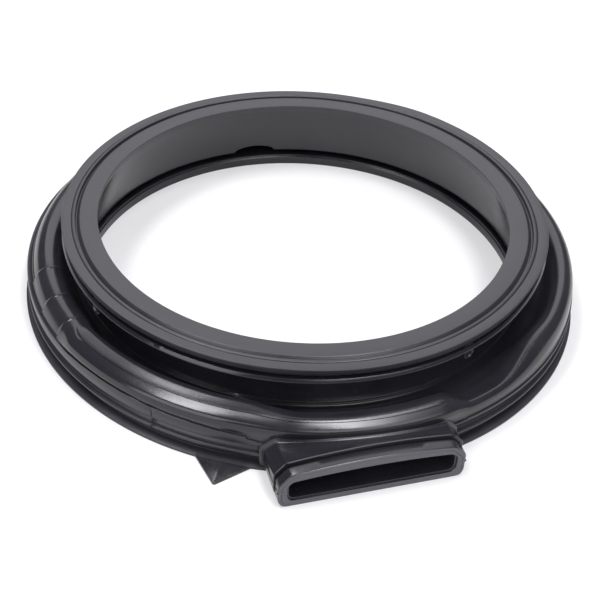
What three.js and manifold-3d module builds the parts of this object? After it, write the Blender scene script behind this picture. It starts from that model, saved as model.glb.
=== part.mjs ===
// Door seal of a tumble dryer: one moulded rubber ring with a rolled fold, an air duct and a marking tab.
// Millimetres, +Z up. The ring stands on its drum side, with the door side on top and the duct towards -Y.
import * as THREE from 'three';
import { mergeVertices } from 'three/addons/utils/BufferGeometryUtils.js';
import Module from 'manifold-3d';

const wasm = await Module();
wasm.setup();

// Main sizes
const totalHeight = 64.5;
const openingRadius = 153;
const topRingRadius = 180;
const flangeRadius = 209.5;
const wall = 2.7;

// Top ring: flat face, narrow dark groove, bead and a slightly lower outer border
const topRingDepth = 5.9;
const openingBevel = 0.9;
const faceWidth = 14;
const grooveWidth = 2.8;
const grooveDepth = 3.4;
const beadWidth = 2.2;
const borderDrop = 0.7;
const borderBevel = 0.8;

// Slot for the door-side clamp, and the thin lip under it
const clampSlotHeight = 3.4;
const clampSlotDepth = 15.5;
const clampLipThickness = 2.9;
const clampLipBevel = 0.5;
const neckFillet = 2.2;

// Conical skirt inside the opening, and its notch
const skirtFootHeight = 11.8;
const skirtFootRadius = 167.8;
const skirtWall = 3;
const skirtBevel = 0.5;
const notchAzimuth = 88;
const notchWidth = 34;
const notchHeight = 6.4;

// Fold: a trough beside the neck, then a rolled bulge that reaches the outer wall
const troughHeight = 22.2;
const troughWidth = 6;
const troughFillet = 1.6;
const crestHeight = 40;

// The bulge's three forms as guide points from the outer wall over the crest to the trough,
// each a share of the bulge's width, counted from the trough, and of its height
const tubeForm = [[0.92, 0.47], [0.8, 0.83], [0.54, 1], [0.28, 0.82], [0.163, 0.47], [0.06, 0.18]];
const chamberForm = [[0.95, 0.52], [0.89, 0.84], [0.72, 1.01], [0.39, 0.97], [0.22, 0.57], [0.077, 0.18]];
const pocketForm = [[0.97, 0.28], [0.94, 0.46], [0.83, 0.57], [0.51, 0.3], [0.24, 0.1], [0.077, 0.045]];

// Drum side: inner lip, web between the lips, outer wall with its clamp seat, and the thin flange
const innerLipRadius = 165;
const innerLipHeight = 8.2;
const innerLipWall = 3.6;
const innerLipBevel = 1.2;
const webBottom = 3.5;
const webThickness = 3;
const webFillet = 1.5;
const outerWallRadius = 207;
const flangeThickness = 2;
const flangeFoot = 7.2;
const undercutRise = 1.2;
const lowerBeadTop = 12.6;
const lowerBeadHeight = 2;
const clampSeatWidth = 6.8;
const clampSeatDepth = 2.6;
const clampSeatRidge = 1.4;
const upperBeadHeight = 7.6;
const upperBeadLow = 2.6;
const upperBeadRound = 0.3;
const seamDepth = 1.6;
const seamWidth = 0.8;

// Where the bulge changes form, as the first and last azimuth of each change
const ribAzimuths = [180, 189.5, 198];
const ribEdge = 0.5;
const ribStep = 1.2;
const chamberStart = [ribAzimuths[2] - ribEdge, 206];
const chamberEnd = [280, 287];
const pocketEnd = [294, 313];
const seamDip = [244, 245.5];
const seamReturn = [330, 345];

// Duct: its mouth faces -Y, beside the ring's middle
const ductCentreX = -17;
const ductReach = 227;
const ductHalfWidth = 63.5;
const ductCrown = 32.2;
const ductShoulder = 28.4;
const ductTopCorner = 11;
const ductFootCorner = 7;
const rearFootCorner = 10;
const collarSetback = 9.5;
const collarStep = 1.6;
const rootInset = 0.2;
const boreSideWall = 6.3;
const boreFloor = 4.3;
const boreCrown = 23;
const boreShoulder = 20.6;
const boreTopCorner = 3.5;
const boreFootCorner = 6;

// Marking tab on the flange
const tabAzimuth = 239.7;
const tabReach = 229;
const tabHalfWidth = 19;
const tabTipHalfWidth = 0.8;

// Fineness of the mesh, and how far joined lengths overlap and cutters stick out
const stationSpacing = 6;
const bulgeSteps = 9;
const cavitySteps = 6;
const coreSides = 120;
const joinOverlap = 2;
const cutOverrun = 5;

const degree = Math.PI / 180;
const clampSeatTop = lowerBeadTop + clampSeatWidth;
const cavityRadius = outerWallRadius - clampSeatDepth - wall;
const collarReach = ductReach - collarSetback;

// A smooth step from 0 to 1 over a stretch of azimuths
function rise(azimuth, [from, to]) {
  return THREE.MathUtils.smoothstep(azimuth, from, to);
}

// How much of the wide air chamber and of the low pocket beside it the bulge has at an azimuth
function chamberShare(azimuth) {
  return rise(azimuth, chamberStart) * (1 - rise(azimuth, chamberEnd));
}

function pocketShare(azimuth) {
  return rise(azimuth, chamberEnd) * (1 - rise(azimuth, pocketEnd));
}

// Height of the fine seam line that ends the outer wall's upper bead
function seamHeight(azimuth) {
  const dip = rise(azimuth, seamDip) * (1 - rise(azimuth, seamReturn));
  return clampSeatTop + THREE.MathUtils.lerp(upperBeadHeight, upperBeadLow, dip);
}

// Drop of the bulge where each rib's segment starts, rising back to nothing at the segment's end
function ribDrop(azimuth) {
  const last = ribAzimuths.filter((rib) => azimuth >= rib).pop();
  if (last === undefined || azimuth > chamberStart[1]) return 0;
  const spacing = ribAzimuths[1] - ribAzimuths[0];
  return ribStep * Math.max(0, 1 - (azimuth - last) / spacing);
}

// Radius of the skirt's inner face at a height, and of the neck, which is the skirt's outer face
function skirtRadius(height) {
  const share = (totalHeight - height) / (totalHeight - skirtFootHeight);
  return openingRadius + (skirtFootRadius - openingRadius) * share;
}

function neckRadius(height) {
  return skirtRadius(height) + skirtWall;
}

function bulgeCurve(azimuth) {
  const chamber = chamberShare(azimuth);
  const pocket = pocketShare(azimuth);
  const inner = neckRadius(troughHeight + troughFillet) + troughWidth;
  const height = crestHeight - troughHeight - ribDrop(azimuth);
  const guides = tubeForm.map((tube, index) => {
    const share = new THREE.Vector2(...tube).multiplyScalar(1 - chamber - pocket);
    share.addScaledVector(new THREE.Vector2(...chamberForm[index]), chamber);
    share.addScaledVector(new THREE.Vector2(...pocketForm[index]), pocket);
    return new THREE.Vector2(inner + share.x * (outerWallRadius - inner), troughHeight + share.y * height);
  });
  const root = new THREE.Vector2(outerWallRadius - seamDepth, seamHeight(azimuth) + seamWidth);
  return new THREE.SplineCurve([root, ...guides]);
}

function bulgeOutside(azimuth) {
  return bulgeCurve(azimuth).getPoints(bulgeSteps);
}

// The cavity keeps one wall thickness from the outside of the bulge
function bulgeInside(azimuth) {
  const curve = bulgeCurve(azimuth);
  const points = [];
  for (let step = cavitySteps; step >= 0; step -= 1) {
    const at = curve.getPoint(step / cavitySteps);
    const along = curve.getTangent(step / cavitySteps);
    points.push(new THREE.Vector2(at.x - along.y * wall, at.y + along.x * wall));
  }
  return points;
}

// Corners are pairs of radius and height
function topRingOutline() {
  const slotFloor = topRingRadius - clampSlotDepth;
  const slotTop = totalHeight - topRingDepth;
  const slotBottom = slotTop - clampSlotHeight;
  const lipUnder = slotBottom - clampLipThickness;
  const grooveInner = openingRadius + faceWidth;
  const grooveOuter = grooveInner + grooveWidth;
  const borderTop = totalHeight - borderDrop;
  const neck = neckRadius(lipUnder - neckFillet);
  return [
    [neck, lipUnder - neckFillet],
    [neck + neckFillet, lipUnder],
    [topRingRadius - clampLipBevel, lipUnder],
    [topRingRadius, lipUnder + clampLipBevel],
    [topRingRadius, slotBottom - clampLipBevel],
    [topRingRadius - clampLipBevel, slotBottom],
    [slotFloor, slotBottom],
    [slotFloor, slotTop],
    [topRingRadius - borderBevel, slotTop],
    [topRingRadius, slotTop + borderBevel],
    [topRingRadius, borderTop - borderBevel],
    [topRingRadius - borderBevel, borderTop],
    [grooveOuter + beadWidth, borderTop],
    [grooveOuter + beadWidth / 2, totalHeight],
    [grooveOuter, totalHeight - grooveDepth],
    [grooveInner, totalHeight - grooveDepth],
    [grooveInner, totalHeight],
    [openingRadius + openingBevel, totalHeight],
    [openingRadius, totalHeight - openingBevel],
  ];
}

// The skirt's free edge, and its back up to the fold's underside
function skirtOutline() {
  const back = skirtFootRadius + skirtWall - skirtBevel;
  const troughUnder = troughHeight - wall;
  return [
    [skirtRadius(skirtFootHeight + skirtBevel), skirtFootHeight + skirtBevel],
    [skirtFootRadius + skirtBevel, skirtFootHeight],
    [back, skirtFootHeight],
    [back, troughUnder],
    [back + troughFillet, troughUnder],
  ];
}

// Drum side from the cavity's floor round the inner lip and flange, up to the seam
function drumSideOutline(azimuth) {
  const seam = seamHeight(azimuth);
  const webTop = webBottom + webThickness;
  const innerLipBack = innerLipRadius + innerLipWall;
  const seatFloor = outerWallRadius - clampSeatDepth;
  const foot = flangeRadius - flangeFoot;
  return [
    [cavityRadius, clampSeatTop],
    [cavityRadius, webTop + webFillet],
    [cavityRadius - webFillet, webTop],
    [innerLipBack, webTop],
    [innerLipBack, innerLipHeight],
    [innerLipRadius + innerLipBevel, innerLipHeight],
    [innerLipRadius, innerLipHeight - innerLipBevel],
    [innerLipRadius, 0],
    [innerLipBack, 0],
    [innerLipBack, webBottom],
    [foot - wall, webBottom],
    [foot - wall, 0],
    [flangeRadius, 0],
    [flangeRadius, flangeThickness],
    [foot, flangeThickness + undercutRise],
    [outerWallRadius, lowerBeadTop - lowerBeadHeight],
    [outerWallRadius, lowerBeadTop],
    [seatFloor, lowerBeadTop + clampSeatRidge / 2],
    [seatFloor + clampSeatRidge, lowerBeadTop + 2 * clampSeatRidge],
    [seatFloor, lowerBeadTop + 3 * clampSeatRidge],
    [seatFloor, clampSeatTop],
    [outerWallRadius - upperBeadRound, clampSeatTop + upperBeadRound],
    [outerWallRadius, (clampSeatTop + seam) / 2],
    [outerWallRadius - upperBeadRound, seam - upperBeadRound],
    [outerWallRadius - seamDepth, seam],
  ];
}

// Whole section at an azimuth, once round the rubber
function sectionAt(azimuth) {
  const corners = (pairs) => pairs.map(([radius, height]) => new THREE.Vector2(radius, height));
  const neckFoot = troughHeight + troughFillet;
  return [
    ...corners(topRingOutline()),
    ...corners(skirtOutline()),
    ...bulgeInside(azimuth),
    ...corners(drumSideOutline(azimuth)),
    ...bulgeOutside(azimuth),
    new THREE.Vector2(neckRadius(neckFoot) + troughWidth / 2, troughHeight),
    new THREE.Vector2(neckRadius(neckFoot), neckFoot),
  ];
}

// Azimuths of the sections: evenly spaced, with more at each rib and where the form changes
function stations() {
  const all = new Set();
  for (let azimuth = 0; azimuth < 360; azimuth += stationSpacing) all.add(azimuth);
  for (const rib of ribAzimuths) {
    all.add(rib - ribEdge);
    all.add(rib);
  }
  for (const [from, to] of [chamberStart, chamberEnd]) {
    all.add(from);
    all.add((from + to) / 2);
    all.add(to);
  }
  for (const azimuth of seamDip) all.add(azimuth);
  return [...all].sort((a, b) => a - b);
}

// A lathed ring whose every section is then set to the outline at its own azimuth
function ringBody() {
  const azimuths = stations();
  const closed = (outline) => [...outline, outline[0].clone()];
  const outlines = azimuths.map((azimuth) => closed(sectionAt(azimuth)));
  const ring = new THREE.LatheGeometry(outlines[0], azimuths.length);
  const position = ring.getAttribute('position');
  for (let turn = 0; turn <= azimuths.length; turn += 1) {
    const station = turn % azimuths.length;
    const angle = azimuths[station] * degree;
    outlines[station].forEach((corner, index) => {
      const vertex = turn * outlines[0].length + index;
      position.setXYZ(vertex, corner.x * Math.cos(angle), corner.x * Math.sin(angle), corner.y);
    });
  }
  return ring;
}

// Rounded outline of the duct or of its bore, with a slightly arched top
function ductOutline(halfWidth, floor, shoulder, crown, topCorner, footCorner) {
  const shape = new THREE.Shape();
  shape.moveTo(-halfWidth + footCorner, floor);
  shape.lineTo(halfWidth - footCorner, floor);
  shape.quadraticCurveTo(halfWidth, floor, halfWidth, floor + footCorner);
  shape.lineTo(halfWidth, shoulder - topCorner);
  shape.quadraticCurveTo(halfWidth, shoulder, halfWidth - topCorner, shoulder);
  shape.quadraticCurveTo(0, 2 * crown - shoulder, -halfWidth + topCorner, shoulder);
  shape.quadraticCurveTo(-halfWidth, shoulder, -halfWidth, shoulder - topCorner);
  shape.lineTo(-halfWidth, floor + footCorner);
  shape.quadraticCurveTo(-halfWidth, floor, -halfWidth + footCorner, floor);
  return shape;
}

// A duct outline carried along -Y between two distances from the ring's axis
function ductLength(outline, from, to) {
  const length = new THREE.ExtrudeGeometry(outline, { depth: to - from, bevelEnabled: false, curveSegments: 6 });
  return length.rotateX(Math.PI / 2).translate(ductCentreX, -from, 0);
}

// A tall round core on the ring's axis, which keeps the duct out of the ring's inside
function uprightCore(radius) {
  return new THREE.CylinderGeometry(radius, radius, 3 * totalHeight, coreSides).rotateX(Math.PI / 2);
}

// Flat pointed tab that marks one place on the flange
function markingTab() {
  const shape = new THREE.Shape();
  const rootRadius = flangeRadius - flangeFoot + 1;
  const cornerRadius = flangeRadius - 1;
  shape.moveTo(-tabHalfWidth, rootRadius);
  shape.lineTo(tabHalfWidth, rootRadius);
  shape.lineTo(tabHalfWidth, cornerRadius);
  shape.lineTo(tabTipHalfWidth, tabReach);
  shape.lineTo(-tabTipHalfWidth, tabReach);
  shape.lineTo(-tabHalfWidth, cornerRadius);
  const tab = new THREE.ExtrudeGeometry(shape, { depth: flangeThickness, bevelEnabled: false });
  return tab.rotateZ((tabAzimuth - 90) * degree);
}

// Half-round notch in the skirt's free edge
function notchCutter() {
  const shape = new THREE.Shape();
  shape.absellipse(0, skirtFootHeight, notchWidth / 2, notchHeight, 0, Math.PI);
  shape.lineTo(-notchWidth / 2, skirtFootHeight - cutOverrun);
  shape.lineTo(notchWidth / 2, skirtFootHeight - cutOverrun);
  const depth = skirtWall + 2 * cutOverrun;
  const cutter = new THREE.ExtrudeGeometry(shape, { depth, bevelEnabled: false, curveSegments: 10 });
  cutter.rotateX(Math.PI / 2).translate(0, cutOverrun - skirtFootRadius, 0);
  return cutter.rotateZ((notchAzimuth + 90) * degree);
}

// A closed geometry as a solid that can be joined and cut
function solid(geometry) {
  const bare = geometry.clone();
  bare.deleteAttribute('normal');
  bare.deleteAttribute('uv');
  const merged = mergeVertices(bare, 1e-4);
  return new wasm.Manifold(new wasm.Mesh({
    numProp: 3,
    vertProperties: new Float32Array(merged.getAttribute('position').array),
    triVerts: new Uint32Array(merged.index.array),
  }));
}

function geometryOf(body) {
  const mesh = body.getMesh();
  const geometry = new THREE.BufferGeometry();
  geometry.setAttribute('position', new THREE.BufferAttribute(mesh.vertProperties, 3));
  geometry.setIndex(new THREE.BufferAttribute(mesh.triVerts, 1));
  geometry.computeVertexNormals();
  return geometry;
}

// The duct ends inside the ring's outer wall, and its bore goes on into the cavity
function ductSides() {
  const farSide = Math.abs(ductCentreX) + ductHalfWidth + collarStep;
  const rootReach = Math.sqrt(cavityRadius ** 2 - farSide ** 2) - joinOverlap;
  const front = ductOutline(ductHalfWidth, 0, ductShoulder, ductCrown, ductTopCorner, ductFootCorner);
  const rear = ductOutline(ductHalfWidth + collarStep, 0, ductShoulder + collarStep / 2,
    ductCrown + collarStep / 2, ductTopCorner, rearFootCorner);
  const bore = ductOutline(ductHalfWidth - boreSideWall, boreFloor, boreShoulder, boreCrown,
    boreTopCorner, boreFootCorner);
  const outside = solid(ductLength(rear, rootReach, collarReach))
    .add(solid(ductLength(front, collarReach - joinOverlap, ductReach)))
    .subtract(solid(uprightCore(cavityRadius + rootInset)));
  const passage = solid(ductLength(bore, rootReach, ductReach + cutOverrun))
    .subtract(solid(uprightCore(cavityRadius - webFillet)));
  return { outside, passage };
}

function doorSeal() {
  const duct = ductSides();
  return solid(ringBody())
    .subtract(solid(notchCutter()))
    .add(duct.outside)
    .add(solid(markingTab()))
    .subtract(duct.passage);
}

const rubber = new THREE.MeshStandardMaterial({ color: 0x35353a, roughness: 0.55, metalness: 0 });
const seal = new THREE.Mesh(geometryOf(doorSeal()), rubber);
seal.name = 'door_seal';

// The origin is under the middle of the whole outline, duct included
const assembly = new THREE.Group();
assembly.position.set(0, (ductReach - flangeRadius) / 2, 0);
assembly.add(seal);

export default assembly;
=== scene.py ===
"""Door seal of a tumble dryer: a moulded rubber ring with a rolled fold, an air duct and a pointed tab."""

import math

import bmesh
import bpy
from mathutils import Matrix, Vector


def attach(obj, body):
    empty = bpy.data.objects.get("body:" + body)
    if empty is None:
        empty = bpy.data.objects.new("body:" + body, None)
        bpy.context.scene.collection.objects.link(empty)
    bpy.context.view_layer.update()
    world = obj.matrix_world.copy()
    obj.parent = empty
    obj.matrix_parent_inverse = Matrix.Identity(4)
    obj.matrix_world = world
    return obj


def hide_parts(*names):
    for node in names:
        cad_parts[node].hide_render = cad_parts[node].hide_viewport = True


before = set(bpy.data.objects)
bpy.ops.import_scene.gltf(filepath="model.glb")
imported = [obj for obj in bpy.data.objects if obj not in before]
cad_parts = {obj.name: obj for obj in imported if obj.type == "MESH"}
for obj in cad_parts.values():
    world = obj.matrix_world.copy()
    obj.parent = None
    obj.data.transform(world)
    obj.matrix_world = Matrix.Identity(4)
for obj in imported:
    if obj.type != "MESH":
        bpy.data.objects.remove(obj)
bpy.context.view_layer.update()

# Every size below is in millimetres and every angle in degrees. A mesh is scaled to metres when it is done.
MM = 0.001

# Main sizes of the ring
TOTAL_HEIGHT = 64.5
OPENING_RADIUS = 153
TOP_RING_RADIUS = 180
FLANGE_RADIUS = 209.4
OUTER_WALL_RADIUS = 207
WALL = 2.7

# Top ring
TOP_RING_DEPTH = 5.9
FACE_WIDTH = 13.6
GROOVE_WIDTH = 3.0
GROOVE_DEPTH = 2.8
BEAD_WIDTH = 2.6
FINE_LINE_WIDTH = 0.5
FINE_LINE_DEPTH = 0.45
BORDER_DROP = 0.6

# Slot for the door-side clamp, and the lip under it
SLOT_HEIGHT = 3.4
SLOT_DEPTH = 15.5
LIP_THICKNESS = 2.9
LIP_SLANT = 1.3
NECK_FILLET = 2.4

# Skirt inside the opening
SKIRT_FOOT_HEIGHT = 11.8
SKIRT_FOOT_RADIUS = 167.8
SKIRT_WALL = 3.0
NOTCH_AZIMUTH = 88
NOTCH_HALF_ANGLE = 5.9
NOTCH_HEIGHT = 6.4

# Fold
TROUGH_HEIGHT = 22.2
TROUGH_WIDTH = 6
TROUGH_FILLET = 1.6
CREST_HEIGHT = 40
LEDGE_STEP = 1.1

# Drum side
INNER_LIP_RADIUS = 165
INNER_LIP_HEIGHT = 8.2
INNER_LIP_WALL = 3.6
WEB_BOTTOM = 3.5
WEB_THICKNESS = 3
FLANGE_THICKNESS = 2
FLANGE_FOOT = 7.2
UNDERCUT_RISE = 1.2
LOWER_BEAD_TOP = 12.6
LOWER_BEAD_HEIGHT = 2
SEAT_WIDTH = 6.8
SEAT_DEPTH = 2.6
SEAM_DEPTH = 1.0
SEAM_WIDTH = 0.6
SEAT_TOP = LOWER_BEAD_TOP + SEAT_WIDTH

# Where the fold changes form along the ring
RIB_AZIMUTHS = (179.2, 189.2, 197.7)
RIB_RISE = 0.55
RIB_EDGE = 0.34
RIB_LINES = (-1.4, -0.8)
RIB_LINE_DEPTH = 0.2
TUBE_SLACK = 2.4
SLACK_START = (110, 150)
CHAMBER_START = (197.7, 203.5)
CHAMBER_END = (281, 288)
POCKET_END = (294, 313)
LEDGE_SPAN = (236, 290)

# Seam above the clamp seat: azimuth and height over the seat, with short steps in front and beside the duct
SEAM_GUIDES = ((200, 7.6), (212, 9.5), (219, 9.5), (224.5, 8.6), (232, 8.0), (241.2, 6.8), (243.6, 6.2),
               (244.1, 4.2), (248, 1.9), (286.2, 1.9), (286.8, 2.6), (330, 2.6), (345, 7.6))

# Thin lines where parts of the mould met: azimuth, lowest and highest point, inner radius, and height,
# which is below nought for a sunk line
MOULD_LINES = ((225.2, 9.5, 25.5, 203, -0.8), (221.4, 52.0, 56.0, 178.5, 0.6))
MOULD_LINE_HALF_ANGLE = 0.2
SEAM_WAVE = 0.22
SEAM_WAVE_SPAN = (196, 238)
SPAN_FADE = 6

# Round tongues that hang from the lip
TONGUE_AZIMUTHS = (200.5, 292.5)
TONGUE_RADIUS = 176.5
TONGUE_HALF_WIDTH = 4.6
TONGUE_DROP = 7.4
TONGUE_THICKNESS = 2.2
TONGUE_RIM = 0.8

# Marking tab on the flange
TAB_AZIMUTH = 239.7
TAB_REACH = 229
TAB_HALF_WIDTH = 19
TAB_TIP = 0.8

# Guide points of the bulge's five forms, from the outer wall over the crest to the trough:
# shares of the bulge's width, counted from the trough, and of its height
TUBE_FORM = ((0.95, 0.36), (0.9, 0.58), (0.8, 0.83), (0.67, 0.965), (0.54, 1.0), (0.41, 0.96),
             (0.28, 0.82), (0.2, 0.63), (0.14, 0.42), (0.06, 0.17))
RIGHT_FORM = ((0.97, 0.36), (0.955, 0.58), (0.91, 0.8), (0.82, 0.95), (0.7, 1.0), (0.58, 0.95),
              (0.47, 0.78), (0.38, 0.54), (0.29, 0.3), (0.15, 0.09))
CHAMBER_FORM = ((0.987, 0.47), (0.976, 0.61), (0.952, 0.742), (0.887, 0.843), (0.732, 0.952), (0.6, 1.012),
                (0.47, 1.045), (0.37, 0.93), (0.27, 0.52), (0.106, 0.1))
FRONT_FORM = ((1.03, 0.4), (1.04, 0.58), (1.02, 0.745), (0.955, 0.845), (0.85, 0.938), (0.76, 0.99),
              (0.62, 0.95), (0.47, 0.8), (0.3, 0.46), (0.12, 0.12))
POCKET_FORM = ((0.98, 0.22), (0.975, 0.36), (0.95, 0.47), (0.89, 0.56), (0.8, 0.55), (0.66, 0.44),
               (0.5, 0.31), (0.34, 0.18), (0.2, 0.09), (0.08, 0.04))
FRONT_START = (242, 254)
RIGHT_START = (-60, -40)
RIGHT_END = (30, 70)

# How far the soft ring stands out of round at the right: the top ring's outer part, and the fold behind it
RING_STRETCH = 2.8
RING_STRETCH_START = 158
RING_STRETCH_SPAN = (-50, -20, 40, 60)
FOLD_STRETCH = 2.3
FOLD_STRETCH_SPAN = (5, 18, 40, 60)

# Fine crease along the chamber's top, at one of the guide points above
CREASE_GUIDE = 5
CREASE_DEPTH = 0.35
CREASE_HALF_SHARE = 0.007
CREASE_SPAN = (199, 205, 279, 284)

# Duct
DUCT_CENTRE_X = -17
DUCT_START = 182.5
DUCT_REACH = 227
DUCT_HALF_WIDTH = 63.5
DUCT_CROWN = 30.0
DUCT_SHOULDER = 26.5
DUCT_FACET = (7.5, 8.2)
DUCT_FOOT_CORNER = 7
FOOT_INSET = 0.9
FACET_EDGE = 1.6
COLLAR_REACH = 217.8
COLLAR_STEP = 0.9
COLLAR_RISE = 3.0
COLLAR_GROOVE = 1.0
REAR_FOOT_CORNER = 10
REAR_DROP = 2.4
RIM_ROUND = 1.3
RIM_LINE_INSET = 2.2
RIM_LINE_DEPTH = 0.35
BORE_SIDE_WALL = 6.3
BORE_FLOOR = 4.3
BORE_CROWN = 23
BORE_SHOULDER = 20.6
BORE_FACET = (3.2, 3.2)
BORE_FOOT_CORNER = 6
ROOT_FILLET = 2.2
ROOT_RADIUS = 208.0
ROOT_CORE_RADIUS = 203.3
BORE_CORE_RADIUS = 200.4
PARTING_HEIGHT = 13
PARTING_WIDTH = 0.3
PARTING_STAND = 0.2
NICK_DEPTH = 0.7
NICK_LENGTH = 12
FLASH_BUMP = 0.9

# The part's origin is under the middle of its outline, so the ring's axis lies beside it
AXIS_SHIFT = (DUCT_REACH - 209.5) / 2

# Finish of the rubber
DEEP_BLACK = (0.0125, 0.012, 0.0155)
PALE_GREY_FOR_BLOOM_WEAR_AND_PAINTED_LIGHT = (0.10, 0.098, 0.112)
FOLD_ROUGHNESS = 0.2
RING_ROUGHNESS = 0.33
WALL_ROUGHNESS = 0.36

# Share of grey that each cause gives the rubber: clouds and specks are bloom, edges are partly wear and
# partly painted highlight, the door-side ring and outer wall are painted light, and the mouth's cut face is
# partly its own tone and partly painted light
CLOUD_GREY = 0.06
SPECK_GREY = 0.05
# Edges: partly light wear, partly a painted highlight along the rounded edges
EDGE_WEAR_AND_HIGHLIGHT_GREY = 0.14
# Door-side ring: painted light, for the light that falls on its upturned top
RING_PAINTED_LIGHT_GREY = 0.1
# Outer wall: painted light, paler than the lamps make it
WALL_PAINTED_LIGHT_GREY = 0.06
# Mouth's cut face: partly the cut rubber's own paler tone, partly painted light from the front
MOUTH_CUT_AND_PAINTED_LIGHT_GREY = 0.75

# Softboxes: name, azimuth, elevation, width and height in degrees seen from the ring, and radiance
LAMP_COLOUR = (0.97, 0.965, 1.0)
SOFTBOX_DISTANCE = 4.0
SOFTBOXES = (
    ("back_softbox", 76, 43, 50, 34, 1.3),
    ("back_low_softbox", 72, 16, 40, 16, 0.7),
    ("left_softbox", 209, 26, 36, 44, 2.2),
    ("front_softbox", 284, 42, 40, 32, 2.4),
)

# Level panels above the ring: name, middle, length and width in multiples of their height above it,
# heading in degrees, and radiance
PANEL_HEIGHT = 3.0
CEILING_PANELS = (
    ("left_panel", (-0.37, 0.09), 0.52, 0.22, 42, 14.0),
    ("high_panel", (-0.1, 0.53), 0.22, 0.16, 20, 8.0),
    ("right_panel", (0.34, 0.12), 0.2, 0.17, 75, 12.0),
    ("front_panel", (0.17, -0.2), 0.5, 0.22, 97, 14.0),
)
WORLD_LEVEL = 0.14
FLOOR_HALF_SIZE = 20
FLOOR_GREY = 0.5
FLOOR_GLOW = 0.3

# Fineness of the meshes
STATION_SPACING = 1.25
FINE_SPACING = 0.2
ROUND_STEPS = 3
LARGE_CORNER = 2.5
LARGE_ROUND_STEPS = 7
ARCH_STEPS = 24
ROOT_STEPS = 6
REAR_STEPS = 5
RIM_STEPS = 5
BULGE_STEPS = 30
CAVITY_STEPS = 10
SHARP_ANGLE = 38


def smoothstep(value, start, end):
    share = min(1.0, max(0.0, (value - start) / (end - start)))
    return share * share * (3 - 2 * share)


def mix(a, b, share):
    return a + (b - a) * share


# Section of the ring

def rounded(corners):
    """Replaces each corner (radius, height, cut) by a small curve, where its cut isn't nought."""
    points = []
    for index, (radius, height, cut) in enumerate(corners):
        corner = Vector((radius, height))
        if not cut:
            points.append(corner)
            continue
        ends = []
        for neighbour in (corners[index - 1], corners[(index + 1) % len(corners)]):
            side = Vector(neighbour[:2]) - corner
            room = side.length * (0.45 if neighbour[2] else 0.95)
            ends.append(corner + side.normalized() * min(cut, room))
        steps = LARGE_ROUND_STEPS if cut > LARGE_CORNER else ROUND_STEPS
        for step in range(steps + 1):
            share = step / steps
            start, end = ends[0] * (1 - share) ** 2, ends[1] * share ** 2
            points.append(start + corner * 2 * share * (1 - share) + end)
    return points


def skirt_radius(height):
    share = (TOTAL_HEIGHT - height) / (TOTAL_HEIGHT - SKIRT_FOOT_HEIGHT)
    return OPENING_RADIUS + (SKIRT_FOOT_RADIUS - OPENING_RADIUS) * share


def neck_radius(height):
    return skirt_radius(height) + SKIRT_WALL


def chamber_share(azimuth):
    return smoothstep(azimuth, *CHAMBER_START) * (1 - smoothstep(azimuth, *CHAMBER_END))


def pocket_share(azimuth):
    return smoothstep(azimuth, *CHAMBER_END) * (1 - smoothstep(azimuth, *POCKET_END))


def front_share(azimuth):
    return smoothstep(azimuth, *FRONT_START) * (1 - smoothstep(azimuth, *CHAMBER_END))


def crease_depth(azimuth):
    start, full, fading, end = CREASE_SPAN
    return CREASE_DEPTH * smoothstep(azimuth, start, full) * (1 - smoothstep(azimuth, fading, end))


def seam_height(azimuth):
    """Height of the seam: it follows its guide points, and is slightly uneven at the left."""
    start, end = SEAM_WAVE_SPAN
    uneven = SEAM_WAVE * smoothstep(azimuth, start, start + SPAN_FADE)
    uneven *= 1 - smoothstep(azimuth, end - SPAN_FADE, end)
    height = SEAT_TOP + uneven * math.sin(azimuth * 1.9) * math.sin(azimuth * 0.7 + 1)
    height += SEAM_GUIDES[0][1]
    for (near, low), (far, high) in zip(SEAM_GUIDES, SEAM_GUIDES[1:]):
        height += (high - low) * smoothstep(azimuth, near, far)
    return height


def mould_line(azimuth, point):
    """How far a thin mould line makes a point of the section stand out, or sink in."""
    for place, lowest, highest, inner, height in MOULD_LINES:
        if lowest <= point.y <= highest and point.x >= inner:
            return height * max(0, 1 - abs(azimuth - place) / MOULD_LINE_HALF_ANGLE)
    return 0


def stretch(azimuth, amount, span):
    """An amount that comes in and fades out over a span of four azimuths."""
    turned = (azimuth + 180) % 360 - 180
    start, full, fading, end = span
    return amount * smoothstep(turned, start, full) * (1 - smoothstep(turned, fading, end))


def ring_stretch(azimuth, point):
    """How far the outer part of the top ring lies outwards, because the soft ring isn't quite round."""
    if point.y < TOTAL_HEIGHT - TOP_RING_DEPTH - SLOT_HEIGHT - LIP_THICKNESS - NECK_FILLET:
        return 0
    share = smoothstep(point.x, RING_STRETCH_START, TOP_RING_RADIUS)
    return stretch(azimuth, RING_STRETCH, RING_STRETCH_SPAN) * share


def rib_rise(azimuth):
    """Each rib is a fine round bead across the tube, with two sunk lines before it."""
    rise = 0
    for rib in RIB_AZIMUTHS:
        past = azimuth - rib
        rise += RIB_RISE * (1 - smoothstep(abs(past), 0, RIB_EDGE))
        for line in RIB_LINES:
            rise -= RIB_LINE_DEPTH * max(0, 1 - abs(past - line) / FINE_SPACING)
    return rise


def tube_slack(azimuth):
    """How much narrower than the chamber the left tube is: it widens a step at each rib."""
    steps = sum(smoothstep(azimuth, rib - RIB_EDGE, rib + RIB_EDGE) for rib in RIB_AZIMUTHS)
    return TUBE_SLACK * smoothstep(azimuth, *SLACK_START) * (1 - steps / len(RIB_AZIMUTHS))


def right_share(azimuth):
    """One at the ring's right side, where the tube is slimmer and lies further out, nought elsewhere."""
    turned = (azimuth + 180) % 360 - 180
    return smoothstep(turned, *RIGHT_START) * (1 - smoothstep(turned, *RIGHT_END))


def notch_rise(azimuth):
    share = (azimuth - NOTCH_AZIMUTH) / NOTCH_HALF_ANGLE
    return NOTCH_HEIGHT * math.sqrt(1 - share * share) if abs(share) < 1 else 0


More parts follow.
